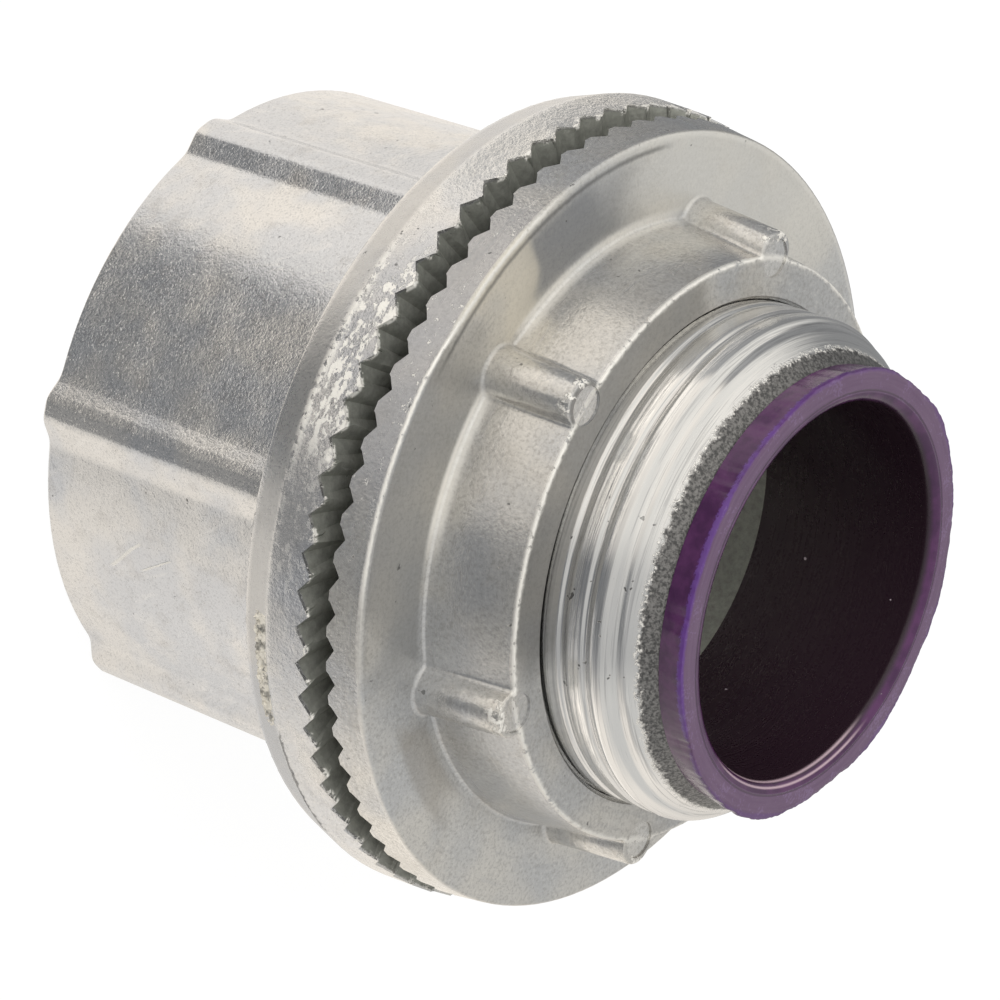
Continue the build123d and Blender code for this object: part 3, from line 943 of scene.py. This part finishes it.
# %% The throat
THROAT_COLUMNS = 540
LIP_STEPS = 10
SLEEVE_R = THROAT_R + 0.85
SEAT_R = 15.85
EDGE_LIMIT_R = 16.38
EDGE_WANDER = 0.42
QUICK_WANDER = 0.10
SHARP_WANDER = 0.07
CHIP_SIZE = 0.06
EDGE_BAND = 0.45


def point_at(angle, radius, height):
    """A point in metres at an angle round the axis, with its radius and height in units."""
    return (radius * math.cos(angle) * UNIT, radius * math.sin(angle) * UNIT, height * UNIT)


def front_edge_radius(angle):
    """The trimmed radius of the throat's front edge at an angle, in units."""
    turn_point = Vector((math.cos(angle), math.sin(angle), 0.0))
    slow = noise.noise(turn_point * 2.2 + Vector((3.1, 0.7, 0.0)))
    quick = noise.noise(turn_point * 14.0)
    sharp = noise.noise(turn_point * 45.0)
    wander = EDGE_WANDER * slow + QUICK_WANDER * quick + SHARP_WANDER * sharp
    return min(THROAT_EDGE_R + wander, EDGE_LIMIT_R)


def throat_section(angle):
    """The corners of the section at an angle, as radius and height in units."""
    edge_r = front_edge_radius(angle)
    chip = CHIP_SIZE * noise.noise(Vector((math.cos(angle), math.sin(angle), 2.0)) * 30.0)
    lip = []
    for index in range(LIP_STEPS + 1):
        bend = math.pi / 2 * index / LIP_STEPS
        lip_r = THROAT_R + LIP_ROUND * (1 - math.cos(bend))
        lip.append((lip_r, THROAT_FRONT - LIP_ROUND * (1 - math.sin(bend))))
    side_r = (edge_r + SEAT_R) / 2
    return [
        (THROAT_R, THROAT_FLOOR),
        (THROAT_R, (THROAT_FLOOR + THROAT_FRONT) / 2),
        *lip,
        (edge_r - EDGE_BAND, THROAT_FRONT),
        (edge_r - 0.16, THROAT_FRONT - 0.01),
        (edge_r - 0.04, THROAT_FRONT - 0.08 + chip * 0.5),
        (edge_r, THROAT_FRONT - 0.22 + chip),
        (edge_r - 0.03, THROAT_FRONT - EDGE_BAND),
        (side_r, (NIPPLE_TOP + THROAT_FRONT) / 2),
        (SEAT_R, NIPPLE_TOP),
        (SLEEVE_R, NIPPLE_TOP),
        (SLEEVE_R, THROAT_FLOOR),
    ]


points = []
for column in range(THROAT_COLUMNS):
    angle = math.tau * column / THROAT_COLUMNS
    points.extend(point_at(angle, *corner) for corner in throat_section(angle))
corner_count = len(points) // THROAT_COLUMNS
faces = []
for column in range(THROAT_COLUMNS):
    here = column * corner_count
    there = (column + 1) % THROAT_COLUMNS * corner_count
    for corner in range(corner_count):
        beyond = (corner + 1) % corner_count
        faces.append((here + corner, there + corner, there + beyond, here + beyond))
throat_mesh = bpy.data.meshes.new("throat_sleeve")
throat_mesh.from_pydata(points, [], faces)
throat = closed_object("throat_sleeve", throat_mesh, violet_plastic)
settle(throat, "hub", "throat_plastic", "insulating_throat")

# %% [markdown]
# ## The scar of the gate
#
# Molten zinc entered the die through a thin gate on the hub's shoulder, and breaking the gate off
# left a short crumbly strip beside the ridge. It is a small grid laid on the shoulder, lifted by
# noise in its middle and sunk into the metal along its border.

# %% The gate scar
SCAR_ANGLES = (283.4, 302.0)
SCAR_HEIGHTS = (RIDGE - 1.45, RIDGE - 0.12)
SCAR_COLUMNS = 110
SCAR_ROWS = 14
SCAR_LIFT = 0.42
SCAR_SINK = 0.06
SCAR_FLOOR = 0.12
SHOULDER_R = 28.8
RIDGE_R = 29.65
COLUMN_SIZE = SCAR_ROWS + 1


def between(ends, share):
    """The value at a share of the way from the first end to the second."""
    return ends[0] + (ends[1] - ends[0]) * share


def scar_point(across_share, up_share, sunk):
    """A point of the scar's upper or lower skin, in metres."""
    angle = math.radians(between(SCAR_ANGLES, across_share))
    height = between(SCAR_HEIGHTS, up_share)
    shoulder = between((SHOULDER_R, RIDGE_R), (height - BARREL_END) / (RIDGE - BARREL_END))
    border = min(across_share * 3, (1 - across_share) * 0.6, up_share, 1 - up_share) * 6
    lump = 0.5 + noise.noise(Vector((across_share * 38, up_share * 4, 0.3))) * 0.9
    lift = min(border, 1.0) * max(lump, 0.0) * SCAR_LIFT - SCAR_SINK
    radius = shoulder - SCAR_FLOOR if sunk else shoulder + lift
    return point_at(angle, min(radius, RIDGE_R - CLOSE), height)


skins = []
for sunk in (False, True):
    for column in range(SCAR_COLUMNS + 1):
        across_share = column / SCAR_COLUMNS
        skins.extend(scar_point(across_share, row / SCAR_ROWS, sunk) for row in range(COLUMN_SIZE))
skin_size = len(skins) // 2
faces = []
for column in range(SCAR_COLUMNS):
    for row in range(SCAR_ROWS):
        corner = column * COLUMN_SIZE + row
        quad = (corner, corner + COLUMN_SIZE, corner + COLUMN_SIZE + 1, corner + 1)
        faces.append(quad)
        faces.append(tuple(skin_size + index for index in reversed(quad)))
border_loop = [column * COLUMN_SIZE for column in range(SCAR_COLUMNS)]
border_loop += [SCAR_COLUMNS * COLUMN_SIZE + row for row in range(SCAR_ROWS)]
border_loop += [column * COLUMN_SIZE + SCAR_ROWS for column in range(SCAR_COLUMNS, 0, -1)]
border_loop += range(SCAR_ROWS, 0, -1)
for first, second in zip(border_loop, border_loop[1:] + border_loop[:1]):
    faces.append((first, first + skin_size, second + skin_size, second))
scar_mesh = bpy.data.meshes.new("gate_scar")
scar_mesh.from_pydata(skins, [], faces)

broken = Surface("broken_zinc")
coarse = broken.noise(broken.place, 2.2, 4.0, 0.7)
crumbs = broken.noise(broken.place, 0.9, 3.0, 0.6)
colour = broken.mix(broken.step(crumbs, 0.38, 0.52), (0.34, 0.33, 0.30, 1), (0.90, 0.86, 0.77, 1))
colour = broken.mix((1 - broken.step(coarse, 0.34, 0.42)) * 0.8, colour, GRIME_AND_SHADE)
broken_zinc = broken.finish(colour, 0.5 + (coarse - 0.5) * 0.3, coarse * 0.12 + crumbs * 0.1, 0.35)
scar = closed_object("gate_scar", scar_mesh, broken_zinc)
settle(scar, "hub", "hub_casting")

# %% [markdown]
# ## The nodes that stay
#
# The locknut and the sealing ring have their final shape in CAD. They keep their meshes and only
# get the finishes made above.

# %% Finishes of the kept nodes
for name, material in (("locknut", nut_zinc), ("sealing_ring", black_rubber)):
    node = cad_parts[name]
    node.data.materials.clear()
    node.data.materials.append(material)
    print(name, "keeps its mesh of", len(node.data.polygons), "faces")
